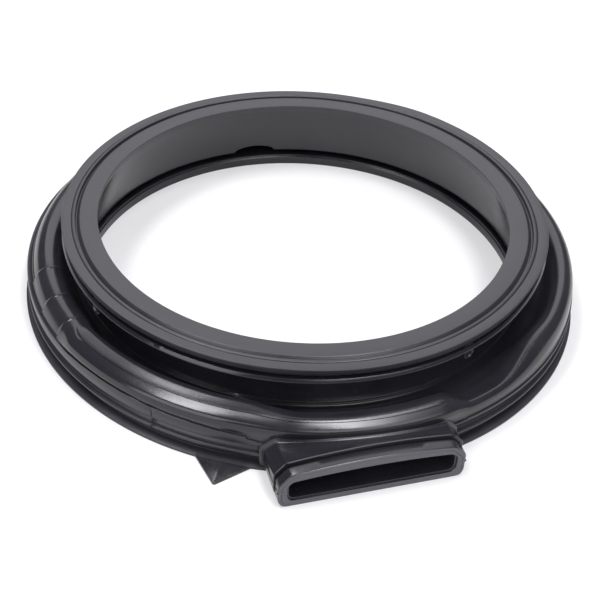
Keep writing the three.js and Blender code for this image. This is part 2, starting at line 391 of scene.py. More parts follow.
def flange_edge(azimuth):
    """Radius of the flange's edge: round, with two straight sides running out to the tab's tip."""
    turn = math.radians(azimuth - TAB_AZIMUTH)
    if abs(turn) > math.atan2(TAB_HALF_WIDTH, FLANGE_RADIUS):
        return FLANGE_RADIUS
    root = FLANGE_RADIUS * math.cos(math.asin(TAB_HALF_WIDTH / FLANGE_RADIUS))
    slope = (TAB_REACH - root) / (TAB_HALF_WIDTH - TAB_TIP)
    on_side = (TAB_REACH + slope * TAB_TIP) / (math.cos(turn) + slope * math.sin(abs(turn)))
    return max(FLANGE_RADIUS, min(on_side, TAB_REACH / math.cos(turn)))


def spline(points, shares):
    """Points at the given shares of a smooth curve through the guide points."""
    ends = [points[0] * 2 - points[1], *points, points[-1] * 2 - points[-2]]
    found = []
    for share in shares:
        place = share * (len(points) - 1)
        index = min(int(place), len(points) - 2)
        t = place - index
        a, b, c, d = ends[index:index + 4]
        found.append(0.5 * (2 * b + (c - a) * t + (2 * a - 5 * b + 4 * c - d) * t ** 2
                            + (3 * b - a - 3 * c + d) * t ** 3))
    return found


def bulge_guides(azimuth):
    chamber = chamber_share(azimuth)
    pocket = pocket_share(azimuth)
    front = front_share(azimuth)
    right = right_share(azimuth)
    inner = neck_radius(TROUGH_HEIGHT + TROUGH_FILLET) + TROUGH_WIDTH
    outer = OUTER_WALL_RADIUS - tube_slack(azimuth) + stretch(azimuth, FOLD_STRETCH, FOLD_STRETCH_SPAN)
    height = CREST_HEIGHT - TROUGH_HEIGHT + rib_rise(azimuth)
    guides = [Vector((OUTER_WALL_RADIUS - SEAM_DEPTH, seam_height(azimuth) + SEAM_WIDTH))]
    for tube, slim, wide, boxy, low in zip(TUBE_FORM, RIGHT_FORM, CHAMBER_FORM, FRONT_FORM, POCKET_FORM):
        tube_form = Vector(tube).lerp(Vector(slim), right)
        chamber_form = Vector(wide).lerp(Vector(boxy), front)
        share = tube_form * (1 - chamber - pocket) + chamber_form * chamber + Vector(low) * pocket
        guides.append(Vector((inner + share.x * (outer - inner), TROUGH_HEIGHT + share.y * height)))
    return guides


def sunk(curve, index, depth):
    """The point of a curve moved towards the inside of the rubber, square to the curve."""
    along = (curve[min(index + 1, len(curve) - 1)] - curve[max(index - 1, 0)]).normalized()
    return curve[index] + Vector((-along.y, along.x)) * depth


def bulge_outside(azimuth):
    """The fold's outside, with a fine crease along the air chamber's top."""
    guides = bulge_guides(azimuth)
    crease = CREASE_GUIDE / (len(guides) - 1)
    shares = {step / BULGE_STEPS for step in range(BULGE_STEPS + 1)}
    shares |= {crease - CREASE_HALF_SHARE, crease, crease + CREASE_HALF_SHARE}
    shares = sorted(shares)
    curve = spline(guides, shares)
    middle = shares.index(crease)
    curve[middle] = sunk(curve, middle, crease_depth(azimuth))
    return curve


def bulge_inside(azimuth):
    curve = spline(bulge_guides(azimuth), [step / CAVITY_STEPS for step in range(CAVITY_STEPS + 1)])
    return [sunk(curve, index, WALL) for index in range(len(curve))][::-1]


def top_ring_outline():
    """From the neck out under the lip, round the clamp slot and back over the top face to the opening."""
    slot_floor = TOP_RING_RADIUS - SLOT_DEPTH
    slot_top = TOTAL_HEIGHT - TOP_RING_DEPTH
    slot_bottom = slot_top - SLOT_HEIGHT
    lip_under = slot_bottom - LIP_THICKNESS
    groove_inner = OPENING_RADIUS + FACE_WIDTH
    groove_outer = groove_inner + GROOVE_WIDTH
    bead_end = groove_outer + BEAD_WIDTH
    border = bead_end + FINE_LINE_WIDTH
    border_top = TOTAL_HEIGHT - BORDER_DROP
    neck = neck_radius(lip_under - NECK_FILLET)
    return rounded([
        (neck, lip_under - NECK_FILLET - 1, 0),
        (neck + 0.3, lip_under, NECK_FILLET),
        (TOP_RING_RADIUS, lip_under, 0.6),
        (TOP_RING_RADIUS, lip_under + 0.8, 0.4),
        (TOP_RING_RADIUS - LIP_SLANT, slot_bottom, 0.5),
        (slot_floor, slot_bottom, 0.6),
        (slot_floor, slot_top, 0.6),
        (TOP_RING_RADIUS - 1.1, slot_top, 0.4),
        (TOP_RING_RADIUS, border_top, 0.7),
        (border, border_top, 0.15),
        (bead_end + FINE_LINE_WIDTH / 2, border_top - FINE_LINE_DEPTH, 0),
        (bead_end, TOTAL_HEIGHT - 0.35, 0.3),
        (groove_outer + 1.1, TOTAL_HEIGHT, 0.6),
        (groove_outer + 0.2, TOTAL_HEIGHT - 0.2, 0.3),
        (groove_outer - 0.2, TOTAL_HEIGHT - GROOVE_DEPTH, 0.3),
        (groove_outer - 1.0, TOTAL_HEIGHT - GROOVE_DEPTH, 0.2),
        (groove_inner, TOTAL_HEIGHT, 0.5),
        (OPENING_RADIUS, TOTAL_HEIGHT, 0.9),
        (skirt_radius(TOTAL_HEIGHT - 8), TOTAL_HEIGHT - 8, 0),
    ])


def skirt_outline(azimuth):
    """Down the skirt's inner face, round its free edge and up its back to the fold's underside."""
    foot = SKIRT_FOOT_HEIGHT + notch_rise(azimuth)
    back = skirt_radius(foot) + SKIRT_WALL - 0.2
    under = TROUGH_HEIGHT - WALL
    inner_face = [(skirt_radius(height), height, 0) for height in (46, 36, 27, foot + 3)]
    return rounded([
        *inner_face,
        (skirt_radius(foot), foot, 1.6),
        (back, foot, 0.9),
        (SKIRT_FOOT_RADIUS + SKIRT_WALL - 0.2, max(foot + 1, under - 1), 0),
        (SKIRT_FOOT_RADIUS + SKIRT_WALL + 1, under, 0.5),
        (SKIRT_FOOT_RADIUS + SKIRT_WALL + 2.5, under, 0),
    ])


def drum_side_outline(azimuth):
    """From the cavity's wall down over the web and round the inner lip, then out and up to the seam."""
    seam = seam_height(azimuth)
    cavity = OUTER_WALL_RADIUS - SEAT_DEPTH - WALL
    web_top = WEB_BOTTOM + WEB_THICKNESS
    lip_back = INNER_LIP_RADIUS + INNER_LIP_WALL
    seat = OUTER_WALL_RADIUS - SEAT_DEPTH
    foot = FLANGE_RADIUS - FLANGE_FOOT
    edge = flange_edge(azimuth)
    bead_middle = (SEAT_TOP + seam) / 2
    return rounded([
        (cavity, SEAT_TOP, 0),
        (cavity, web_top, 1.5),
        (lip_back, web_top, 0.3),
        (lip_back, INNER_LIP_HEIGHT, 0.5),
        (INNER_LIP_RADIUS + 1.3, INNER_LIP_HEIGHT, 0.3),
        (INNER_LIP_RADIUS + 1.0, INNER_LIP_HEIGHT - 1.1, 0.2),
        (INNER_LIP_RADIUS, INNER_LIP_HEIGHT - 1.5, 0.4),
        (INNER_LIP_RADIUS, 0, 0.4),
        (lip_back, 0, 0.4),
        (lip_back, WEB_BOTTOM, 0.8),
        (foot - WALL, WEB_BOTTOM, 0.8),
        (foot - WALL, 0, 0.3),
        (edge, 0, 0.35),
        (edge, FLANGE_THICKNESS, 0.45),
        (foot, FLANGE_THICKNESS + UNDERCUT_RISE, 1.0),
        (OUTER_WALL_RADIUS + 0.4, LOWER_BEAD_TOP - LOWER_BEAD_HEIGHT, 1.2),
        (OUTER_WALL_RADIUS + 0.4, LOWER_BEAD_TOP, 0.6),
        (seat + 0.4, LOWER_BEAD_TOP + 0.5, 0.3),
        (seat + 0.3, LOWER_BEAD_TOP + 1.5, 0.2),
        (seat + 1.5, LOWER_BEAD_TOP + 2.4, 0.5),
        (seat, LOWER_BEAD_TOP + 3.8, 0.5),
        (seat, SEAT_TOP, 0.4),
        (OUTER_WALL_RADIUS - 0.2, SEAT_TOP, 0.5),
        (OUTER_WALL_RADIUS + 0.2, bead_middle, 1.0),
        (OUTER_WALL_RADIUS - 0.1, seam, 0.3),
        (OUTER_WALL_RADIUS - SEAM_DEPTH, seam - 0.1, 0),
    ])


def ring_section(azimuth):
    """The whole section at an azimuth: radius and height of each point, once round the rubber."""
    neck_foot = TROUGH_HEIGHT + TROUGH_FILLET
    neck = neck_radius(neck_foot)
    ledge_start, ledge_end = LEDGE_SPAN
    ledge = LEDGE_STEP * smoothstep(azimuth, ledge_start, ledge_start + SPAN_FADE)
    ledge *= 1 - smoothstep(azimuth, ledge_end - SPAN_FADE, ledge_end)
    trough = rounded([
        (neck + TROUGH_WIDTH - 0.6, TROUGH_HEIGHT + 0.25, 0),
        (neck + 2.4, TROUGH_HEIGHT, 1.2),
        (neck + 0.3 + ledge, neck_foot - 0.8, 0.3),
        (neck + 0.1 + ledge, neck_foot + 0.2, 0.2),
        (neck_radius(neck_foot + 0.9), neck_foot + 0.9, 0.2),
        (neck_radius(neck_foot + 9), neck_foot + 9, 0),
        (neck_radius(neck_foot + 17), neck_foot + 17, 0),
    ])
    section = [
        *top_ring_outline(),
        *skirt_outline(azimuth),
        *bulge_inside(azimuth),
        *drum_side_outline(azimuth),
        *bulge_outside(azimuth),
        *trough,
    ]
    return [Vector((point.x + mould_line(azimuth, point) + ring_stretch(azimuth, point), point.y))
            for point in section]


def ring_stations():
    """Azimuths of the sections: even, with close ones where the form changes in a short stretch."""
    count = round(360 / STATION_SPACING)
    stations = {round(index * STATION_SPACING, 3) for index in range(count)}
    tab_half = math.degrees(math.atan2(TAB_HALF_WIDTH, FLANGE_RADIUS))
    fine = [(rib + min(RIB_LINES) - 2 * FINE_SPACING, rib + 2 * RIB_EDGE) for rib in RIB_AZIMUTHS]
    fine += [(near[0], far[0]) for near, far in zip(SEAM_GUIDES, SEAM_GUIDES[1:]) if far[0] - near[0] < 1]
    fine += [(line[0] - MOULD_LINE_HALF_ANGLE, line[0] + MOULD_LINE_HALF_ANGLE) for line in MOULD_LINES]
    fine += [(NOTCH_AZIMUTH + side * NOTCH_HALF_ANGLE - 1, NOTCH_AZIMUTH + side * NOTCH_HALF_ANGLE + 1)
             for side in (-1, 1)]
    fine += [(TAB_AZIMUTH + side * tab_half - 0.5, TAB_AZIMUTH + side * tab_half + 0.5)
             for side in (-1, 0, 1)]
    for start, end in fine:
        steps = math.ceil((end - start) / FINE_SPACING)
        stations |= {round(mix(start, end, step / steps), 3) for step in range(steps + 1)}
    ordered = sorted(stations)
    kept = [ordered[0]]
    for azimuth in ordered[1:]:
        if azimuth - kept[-1] > FINE_SPACING / 3:
            kept.append(azimuth)
    return kept


def build_ring():
    """Spins the section at azimuth nought once round, then sets each turn to its own section."""
    stations = ring_stations()
    sections = [ring_section(azimuth) for azimuth in stations]
    bm = bmesh.new()
    place = bm.verts.layers.int.new("place")
    loop = []
    for index, point in enumerate(sections[0]):
        vertex = bm.verts.new((point.x, 0, point.y))
        vertex[place] = index
        loop.append(vertex)
    edges = [bm.edges.new((loop[index - 1], loop[index])) for index in range(len(loop))]
    bmesh.ops.spin(bm, geom=loop + edges, cent=(0, 0, 0), axis=(0, 0, 1), dvec=(0, 0, 0),
                   angle=math.tau, steps=len(stations), use_merge=True, use_duplicate=False)
    for vertex in bm.verts:
        share = (math.atan2(vertex.co.y, vertex.co.x) % math.tau) / math.tau
        turn = round(share * len(stations)) % len(stations)
        point = sections[turn][vertex[place]]
        angle = math.radians(stations[turn])
        vertex.co = (point.x * math.cos(angle), point.x * math.sin(angle), point.y)
    bmesh.ops.recalc_face_normals(bm, faces=bm.faces)
    return bm


# Duct

def duct_outline(half_width, floor, shoulder, crown, facet, foot_corner, edge=FACET_EDGE, parting=0):
    """Outline seen from the mouth, anticlockwise from the foot, with a facet at each top corner."""
    run, drop = facet
    inner = half_width - run
    right = [
        *((share * (half_width - foot_corner), floor, 0) for share in (0.2, 0.6)),
        (half_width, floor, foot_corner),
        (half_width, PARTING_HEIGHT - PARTING_WIDTH, 0),
        (half_width + parting, PARTING_HEIGHT, 0),
        (half_width, PARTING_HEIGHT + PARTING_WIDTH, 0),
        (half_width, shoulder - drop, edge),
        (inner, shoulder, edge),
    ]
    arch = []
    for step in range(1, ARCH_STEPS):
        share = 1 - 2 * step / ARCH_STEPS
        arch.append((inner * share, shoulder + (crown - shoulder) * (1 - share ** 2), 0))
    left = [(-x, height, cut) for x, height, cut in reversed(right)]
    return rounded([*right, *arch, *left])


def grown(outline, amount):
    """Moves each point of an outline outwards, except below the floor that the duct stands on."""
    floor = min(point.y for point in outline)
    moved = []
    for index, point in enumerate(outline):
        along = (outline[(index + 1) % len(outline)] - outline[index - 1]).normalized()
        out = point + Vector((along.y, -along.x)) * amount
        moved.append(Vector((out.x, max(out.y, floor))))
    return moved


def loft(sections):
    """A closed solid through sections of equal counts, each a list of places."""
    bm = bmesh.new()
    loops = []
    for section in sections:
        verts = [bm.verts.new(place) for place in section]
        loops.append([bm.edges.new((verts[index - 1], verts[index])) for index in range(len(verts))])
    for first, second in zip(loops, loops[1:]):
        bmesh.ops.bridge_loops(bm, edges=first + second)
    bmesh.ops.contextual_create(bm, geom=loops[0])
    bmesh.ops.contextual_create(bm, geom=loops[-1])
    bmesh.ops.recalc_face_normals(bm, faces=bm.faces)
    return bm


def on_plane(outline, reach):
    return [Vector((DUCT_CENTRE_X + point.x, -reach, point.y)) for point in outline]


def on_ring(outline, radius):
    """The outline laid on an upright cylinder round the ring's axis."""
    places = []
    for point in outline:
        x = DUCT_CENTRE_X + point.x
        places.append(Vector((x, -math.sqrt(radius ** 2 - x ** 2), point.y)))
    return places


def front_outline(inset):
    """The mouth block's outline, or one evenly inside it. A small inset leaves its foot in place."""
    floor = inset if inset > FOOT_INSET else 0
    return duct_outline(DUCT_HALF_WIDTH - inset, floor, DUCT_SHOULDER - inset, DUCT_CROWN - inset,
                        DUCT_FACET, DUCT_FOOT_CORNER - inset, parting=PARTING_STAND)


def rear_outline(share):
    """The rear block's outline, from the root at nought to the collar at one: its top rises."""
    drop = REAR_DROP * (1 - share ** 2)
    return duct_outline(DUCT_HALF_WIDTH + COLLAR_STEP, 0, DUCT_SHOULDER + COLLAR_RISE - drop,
                        DUCT_CROWN + COLLAR_RISE - drop, DUCT_FACET, REAR_FOOT_CORNER,
                        parting=PARTING_STAND)


def duct_body():
    """The duct's outside: a hollow root, a rear block whose top rises, a collar groove and the mouth."""
    root = rear_outline(0)
    sections = [on_plane(grown(root, ROOT_FILLET), DUCT_START)]
    for step in range(ROOT_STEPS):
        turn = math.pi / 2 * step / ROOT_STEPS
        radius = ROOT_RADIUS + ROOT_FILLET * (1 - math.cos(turn))
        sections.append(on_ring(grown(root, ROOT_FILLET * (1 - math.sin(turn))), radius))
    for step in range(REAR_STEPS + 1):
        share = step / REAR_STEPS
        outline = rear_outline(share)
        behind = on_ring(outline, ROOT_RADIUS + ROOT_FILLET)
        ahead = on_plane(outline, COLLAR_REACH - 0.5)
        sections.append([near.lerp(far, share) for near, far in zip(behind, ahead)])
    sections.append(on_plane(grown(rear_outline(1), -0.5), COLLAR_REACH))
    for reach, inset in ((COLLAR_REACH + 0.1, COLLAR_GROOVE), (COLLAR_REACH + 0.8, COLLAR_GROOVE),
                         (COLLAR_REACH + 1.0, 0.3), (COLLAR_REACH + 1.4, 0)):
        sections.append(on_plane(front_outline(inset), reach))
    for step in range(RIM_STEPS + 1):
        turn = math.pi / 2 * step / RIM_STEPS
        reach = DUCT_REACH - RIM_ROUND * (1 - math.sin(turn))
        sections.append(on_plane(front_outline(RIM_ROUND * (1 - math.cos(turn))), reach))
    for reach, inset in ((DUCT_REACH, RIM_LINE_INSET - 0.25), (DUCT_REACH - RIM_LINE_DEPTH, RIM_LINE_INSET),
                         (DUCT_REACH, RIM_LINE_INSET + 0.25)):
        sections.append(on_plane(front_outline(inset), reach))
    return loft(sections)


def duct_bore():
    """The duct's bore, with a shallow ledge inside its mouth, run on into the fold's cavity."""
    bore = duct_outline(DUCT_HALF_WIDTH - BORE_SIDE_WALL, BORE_FLOOR, BORE_SHOULDER, BORE_CROWN,
                        BORE_FACET, BORE_FOOT_CORNER, edge=1.5)
    steps = ((DUCT_REACH + 3, 0.6), (DUCT_REACH - 0.2, 0.55), (DUCT_REACH - 0.6, 0.15),
             (DUCT_REACH - 1.6, 0), (DUCT_REACH - 1.9, -1.0), (DUCT_REACH - 30, -1.2))
    return loft([on_plane(grown(bore, grow), reach) for reach, grow in steps])


def rim_nicks():
    """Two small notches across the rim's sides, where the halves of the mould met."""
    bm = bmesh.new()
    for side in (-1, 1):
        made = bmesh.ops.create_cube(bm, size=NICK_DEPTH * math.sqrt(2))
        bmesh.ops.rotate(bm, verts=made["verts"], matrix=Matrix.Rotation(math.radians(45), 3, "X"))
        bmesh.ops.scale(bm, verts=made["verts"], vec=(NICK_LENGTH / NICK_DEPTH, 1, 0.8))
        bmesh.ops.translate(bm, verts=made["verts"],
                            vec=(DUCT_CENTRE_X + side * DUCT_HALF_WIDTH, -DUCT_REACH, PARTING_HEIGHT))
    return bm


def rim_flash():
    """Two crumbs of flash that stand out of the rim's sides at the parting height."""
    bm = bmesh.new()
    for side in (-1, 1):
        made = bmesh.ops.create_icosphere(bm, subdivisions=2, radius=FLASH_BUMP)
        bmesh.ops.scale(bm, verts=made["verts"], vec=(1, 0.8, 1.3))
        place = (DUCT_CENTRE_X + side * DUCT_HALF_WIDTH, 1.2 - DUCT_REACH, PARTING_HEIGHT - 1)
        bmesh.ops.translate(bm, verts=made["verts"], vec=place)
    return bm


def tongue(azimuth):
    """A round tongue with a raised rim, hanging from the lip under the clamp slot."""
    bm = bmesh.new()
    made = bmesh.ops.create_circle(bm, cap_ends=True, segments=24, radius=TONGUE_HALF_WIDTH)
    top = [vertex for vertex in made["verts"] if vertex.co.y > -0.01]
    bmesh.ops.translate(bm, verts=top, vec=(0, TONGUE_DROP - TONGUE_HALF_WIDTH + 1, 0))
    drawn = bmesh.ops.extrude_face_region(bm, geom=list(bm.faces))
    moved = [item for item in drawn["geom"] if isinstance(item, bmesh.types.BMVert)]
    bmesh.ops.translate(bm, verts=moved, vec=(0, 0, TONGUE_THICKNESS))
    bmesh.ops.recalc_face_normals(bm, faces=bm.faces)
    outside = [face for face in bm.faces if face.normal.z > 0.9]
    bmesh.ops.inset_region(bm, faces=outside, thickness=TONGUE_RIM, use_even_offset=True)
    bmesh.ops.translate(bm, verts=outside[0].verts, vec=(0, 0, -TONGUE_RIM))
    bmesh.ops.rotate(bm, verts=bm.verts, matrix=Matrix.Rotation(math.radians(90), 3, "X"))
    bmesh.ops.rotate(bm, verts=bm.verts, matrix=Matrix.Rotation(math.radians(azimuth + 90), 3, "Z"))
    lip_under = TOTAL_HEIGHT - TOP_RING_DEPTH - SLOT_HEIGHT - LIP_THICKNESS
    turn = math.radians(azimuth)
    bmesh.ops.translate(bm, verts=bm.verts, vec=(
        TONGUE_RADIUS * math.cos(turn),
        TONGUE_RADIUS * math.sin(turn),
        lip_under - TONGUE_DROP + TONGUE_HALF_WIDTH,
    ))
    return bm


def upright_core(radius):
    bm = bmesh.new()
    bmesh.ops.create_cone(bm, cap_ends=True, cap_tris=False, segments=360, radius1=radius, radius2=radius,
                          depth=3 * TOTAL_HEIGHT)
    return bm


# Objects

def to_object(bm, name):
    """A finished mesh in metres, in the frame of the CAD part, whose origin is beside the ring's axis."""
    bmesh.ops.translate(bm, verts=bm.verts, vec=(0, AXIS_SHIFT, 0))
    bmesh.ops.scale(bm, verts=bm.verts, vec=(MM, MM, MM))
    mesh = bpy.data.meshes.new(name)
    bm.to_mesh(mesh)
    bm.free()
    piece = bpy.data.objects.new(name, mesh)
    bpy.context.scene.collection.objects.link(piece)
    return piece


def combine(target, tool, operation):
    """Joins or cuts target with tool, and removes the tool."""
    modifier = target.modifiers.new("combine", "BOOLEAN")
    modifier.object = tool
    modifier.operation = operation
    modifier.solver = "EXACT"
    depsgraph = bpy.context.evaluated_depsgraph_get()
    mesh = bpy.data.meshes.new_from_object(target.evaluated_get(depsgraph))
    target.modifiers.clear()
    target.data = mesh
    bpy.data.objects.remove(tool)


def door_seal():
    """The ring with its duct, bore, rim marks and tongues. The cores keep duct and bore out of the fold."""
    duct = to_object(duct_body(), "duct")
    combine(duct, to_object(upright_core(ROOT_CORE_RADIUS), "root_core"), "DIFFERENCE")
    bore = to_object(duct_bore(), "bore")
    combine(bore, to_object(upright_core(BORE_CORE_RADIUS), "bore_core"), "DIFFERENCE")
    seal = to_object(build_ring(), "seal_rubber")
    combine(seal, duct, "UNION")
    combine(seal, bore, "DIFFERENCE")
    combine(seal, to_object(rim_nicks(), "rim_nicks"), "DIFFERENCE")
    combine(seal, to_object(rim_flash(), "rim_flash"), "UNION")
    for azimuth in TONGUE_AZIMUTHS:
        combine(seal, to_object(tongue(azimuth), "tongue"), "UNION")
    seal.data.shade_smooth()
    seal.data.set_sharp_from_angle(angle=math.radians(SHARP_ANGLE))
    return seal


# Rubber finish

def node_group(name, inputs, outputs):
    """A shader node group with inputs, each (name, kind, value), and outputs, each (name, kind)."""
    group = bpy.data.node_groups.new(name, "ShaderNodeTree")
    for label, kind, value in inputs:
        socket = group.interface.new_socket(label, in_out="INPUT", socket_type="NodeSocket" + kind)
        if value is not None:
            socket.default_value = value
    for label, kind in outputs:
        group.interface.new_socket(label, in_out="OUTPUT", socket_type="NodeSocket" + kind)
    return group, group.nodes.new("NodeGroupInput"), group.nodes.new("NodeGroupOutput")


def feed(tree, socket, source):
    """Links a source to a socket where it is a socket itself, and sets it as a plain value otherwise."""
    if isinstance(source, bpy.types.NodeSocket):
        tree.links.new(source, socket)
    else:
        socket.default_value = source


def math_node(tree, operation, first, second=0.0):
    node = tree.nodes.new("ShaderNodeMath")
    node.operation = operation
    feed(tree, node.inputs[0], first)
    feed(tree, node.inputs[1], second)
    return node.outputs["Value"]


def remap(tree, value, from_low, from_high, to_low=0.0, to_high=1.0):
    """A smooth step of the value from one range to another, held at both ends."""
    node = tree.nodes.new("ShaderNodeMapRange")
    node.interpolation_type = "SMOOTHSTEP"
    for label, source in (("Value", value), ("From Min", from_low), ("From Max", from_high),
                          ("To Min", to_low), ("To Max", to_high)):
        feed(tree, node.inputs[label], source)
    return node.outputs["Result"]


def noise(tree, position, scale, detail=3.0, roughness=0.55, turn=None):
    """Soft noise of a scale in features per metre. A turn is a fourth coordinate of the pattern."""
    node = tree.nodes.new("ShaderNodeTexNoise")
    if turn is not None:
        node.noise_dimensions = "4D"
        feed(tree, node.inputs["W"], turn)
    feed(tree, node.inputs["Scale"], scale)
    node.inputs["Detail"].default_value = detail
    node.inputs["Roughness"].default_value = roughness
    feed(tree, node.inputs["Vector"], position)
    return node.outputs["Fac"]


def ring_place_group():
    """Turns a position, counted from the ring's axis, into radius, height and direction round the ring."""
    group, start, end = node_group("ring_place", [("Position", "Vector", None)],
                                   [("Radius", "Float"), ("Height", "Float"), ("Direction", "Vector")])
    split = group.nodes.new("ShaderNodeSeparateXYZ")
    group.links.new(start.outputs["Position"], split.inputs["Vector"])
    flat = group.nodes.new("ShaderNodeCombineXYZ")
    group.links.new(split.outputs["X"], flat.inputs["X"])
    group.links.new(split.outputs["Y"], flat.inputs["Y"])
    length = group.nodes.new("ShaderNodeVectorMath")
    length.operation = "LENGTH"
    group.links.new(flat.outputs["Vector"], length.inputs[0])
    direction = group.nodes.new("ShaderNodeVectorMath")
    direction.operation = "NORMALIZE"
    group.links.new(flat.outputs["Vector"], direction.inputs[0])
    group.links.new(length.outputs["Value"], end.inputs["Radius"])
    group.links.new(split.outputs["Z"], end.inputs["Height"])
    group.links.new(direction.outputs["Vector"], end.inputs["Direction"])
    return group


def flow_streaks_group():
    """Long faint streaks that follow the ring, as rubber leaves where it flowed in the mould."""
    group, start, end = node_group(
        "flow_streaks",
        [("Direction", "Vector", None), ("Radius", "Float", 0.2), ("Height", "Float", 0.0),
         ("Along", "Float", 3.0), ("Across", "Float", 400.0)],
        [("Streak", "Float")],
    )
    along = group.nodes.new("ShaderNodeVectorMath")
    along.operation = "SCALE"
    group.links.new(start.outputs["Direction"], along.inputs[0])
    group.links.new(start.outputs["Along"], along.inputs["Scale"])
    level = math_node(group, "ADD", start.outputs["Radius"], start.outputs["Height"])
    across = math_node(group, "MULTIPLY", level, start.outputs["Across"])
    streak = noise(group, along.outputs["Vector"], 1.0, detail=2.0, turn=across)
    group.links.new(streak, end.inputs["Streak"])
    return group


def surface_grain_group():
    """Fine pebbled grain with rare small pits, as a height."""
    group, start, end = node_group(
        "surface_grain",
        [("Position", "Vector", None), ("Grain Scale", "Float", 1400.0), ("Pit Scale", "Float", 260.0)],
        [("Height", "Float")],
    )
    grain = noise(group, start.outputs["Position"], start.outputs["Grain Scale"], detail=4.0, roughness=0.6)
    spots = noise(group, start.outputs["Position"], start.outputs["Pit Scale"], detail=1.0)
    pits = remap(group, spots, 0.70, 0.78)
    group.links.new(math_node(group, "SUBTRACT", grain, pits), end.inputs["Height"])
    return group


def chalky_bloom_group():
    """Cloudy patches of the pale bloom that comes to the surface of stored rubber."""
    group, start, end = node_group(
        "chalky_bloom",
        [("Position", "Vector", None), ("Cloud Scale", "Float", 16.0), ("Speck Scale", "Float", 240.0)],
        [("Cloud", "Float"), ("Speck", "Float")],
    )
    clouds = noise(group, start.outputs["Position"], start.outputs["Cloud Scale"],
                   detail=5.0, roughness=0.6)
    specks = noise(group, start.outputs["Position"], start.outputs["Speck Scale"], detail=2.0)
    group.links.new(remap(group, clouds, 0.36, 0.66), end.inputs["Cloud"])
    group.links.new(remap(group, specks, 0.66, 0.76), end.inputs["Speck"])
    return group


def placed(tree, group, **inputs):
    """A group node in a material, with its inputs linked or set."""
    node = tree.nodes.new("ShaderNodeGroup")
    node.node_tree = group
    for label, source in inputs.items():
        feed(tree, node.inputs[label.replace("_", " ")], source)
    return node.outputs


def rubber_material():
    """Black rubber: satin on the fold, more matt on the door-side ring and the mouth's cut face."""
    material = bpy.data.materials.new("black_rubber")
    material.use_nodes = True
    tree = material.node_tree
    shader = tree.nodes["Principled BSDF"]

    coordinate = tree.nodes.new("ShaderNodeTexCoord")
    centred = tree.nodes.new("ShaderNodeMapping")
    centred.inputs["Location"].default_value = (0, -AXIS_SHIFT * MM, 0)
    tree.links.new(coordinate.outputs["Object"], centred.inputs["Vector"])
    position = centred.outputs["Vector"]
    place = placed(tree, ring_place_group(), Position=position)
    streak = placed(tree, flow_streaks_group(), Direction=place["Direction"], Radius=place["Radius"],
                    Height=place["Height"])["Streak"]
    grain = placed(tree, surface_grain_group(), Position=position)["Height"]
    bloom = placed(tree, chalky_bloom_group(), Position=position)

    # The door-side ring is more matt, and it is painted paler as painted light on its top
    top_ring = remap(tree, place["Height"], (TOTAL_HEIGHT - TOP_RING_DEPTH - 1) * MM,
                     (TOTAL_HEIGHT - TOP_RING_DEPTH + 1) * MM)
    depth = tree.nodes.new("ShaderNodeSeparateXYZ")
    tree.links.new(position, depth.inputs["Vector"])
    # The mouth's cut face is matt and pale: partly its own tone, partly painted light from the front
    mouth = remap(tree, depth.outputs["Y"], (0.2 - DUCT_REACH) * MM, (0.6 - DUCT_REACH) * MM, 1.0, 0.0)
    # Pointiness finds the sharp edges, which are painted paler: partly wear, partly a painted highlight
    geometry = tree.nodes.new("ShaderNodeNewGeometry")
    edge = remap(tree, geometry.outputs["Pointiness"], 0.54, 0.62)

    # The outer wall below the seam, on the ring only, is rougher, and it is painted paler as painted light
    outside = remap(tree, place["Radius"], (OUTER_WALL_RADIUS - 5) * MM, (OUTER_WALL_RADIUS - 3) * MM)
    low = remap(tree, place["Height"], (SEAT_TOP + 7) * MM, (SEAT_TOP + 9) * MM, 1.0, 0.0)
    ring_only = remap(tree, place["Radius"], (FLANGE_RADIUS + 0.3) * MM, (FLANGE_RADIUS + 1) * MM, 1.0, 0.0)
    wall = math_node(tree, "MULTIPLY", math_node(tree, "MULTIPLY", outside, low), ring_only)

    matt = math_node(tree, "MAXIMUM", top_ring, mouth)
    roughness = remap(tree, matt, 0.0, 1.0, FOLD_ROUGHNESS, RING_ROUGHNESS)
    roughness = math_node(tree, "ADD", roughness,
                          math_node(tree, "MULTIPLY", wall, WALL_ROUGHNESS - FOLD_ROUGHNESS))
    roughness = math_node(tree, "ADD", roughness, remap(tree, bloom["Cloud"], 0.0, 1.0, -0.03, 0.05))
    roughness = math_node(tree, "ADD", roughness, remap(tree, streak, 0.3, 0.7, -0.02, 0.02))
    tree.links.new(roughness, shader.inputs["Roughness"])

    # Paler grey from bloom and specks, edge wear, and painted light and highlight on the edges, ring top,
    # outer wall and mouth
    pale = math_node(tree, "MULTIPLY", bloom["Cloud"], CLOUD_GREY)
    for mask, share in ((bloom["Speck"], SPECK_GREY), (edge, EDGE_WEAR_AND_HIGHLIGHT_GREY), (top_ring, RING_PAINTED_LIGHT_GREY),
                        (wall, WALL_PAINTED_LIGHT_GREY), (mouth, MOUTH_CUT_AND_PAINTED_LIGHT_GREY)):
        pale = math_node(tree, "ADD", pale, math_node(tree, "MULTIPLY", mask, share))
    colour = tree.nodes.new("ShaderNodeMix")
    colour.data_type = "RGBA"
    colour.inputs["A"].default_value = (*DEEP_BLACK, 1)
    colour.inputs["B"].default_value = (*PALE_GREY_FOR_BLOOM_WEAR_AND_PAINTED_LIGHT, 1)
    tree.links.new(pale, colour.inputs["Factor"])
    tree.links.new(colour.outputs["Result"], shader.inputs["Base Color"])

    bump = tree.nodes.new("ShaderNodeBump")
    bump.inputs["Strength"].default_value = 0.35
    bump.inputs["Distance"].default_value = 0.04 * MM
    height = math_node(tree, "ADD", grain, math_node(tree, "MULTIPLY", streak, 0.5))
    tree.links.new(height, bump.inputs["Height"])
    tree.links.new(bump.outputs["Normal"], shader.inputs["Normal"])
    return material


# Studio

def direction(azimuth, elevation):
    turn, rise = math.radians(azimuth), math.radians(elevation)
    return Vector((math.cos(rise) * math.cos(turn), math.cos(rise) * math.sin(turn), math.sin(rise)))


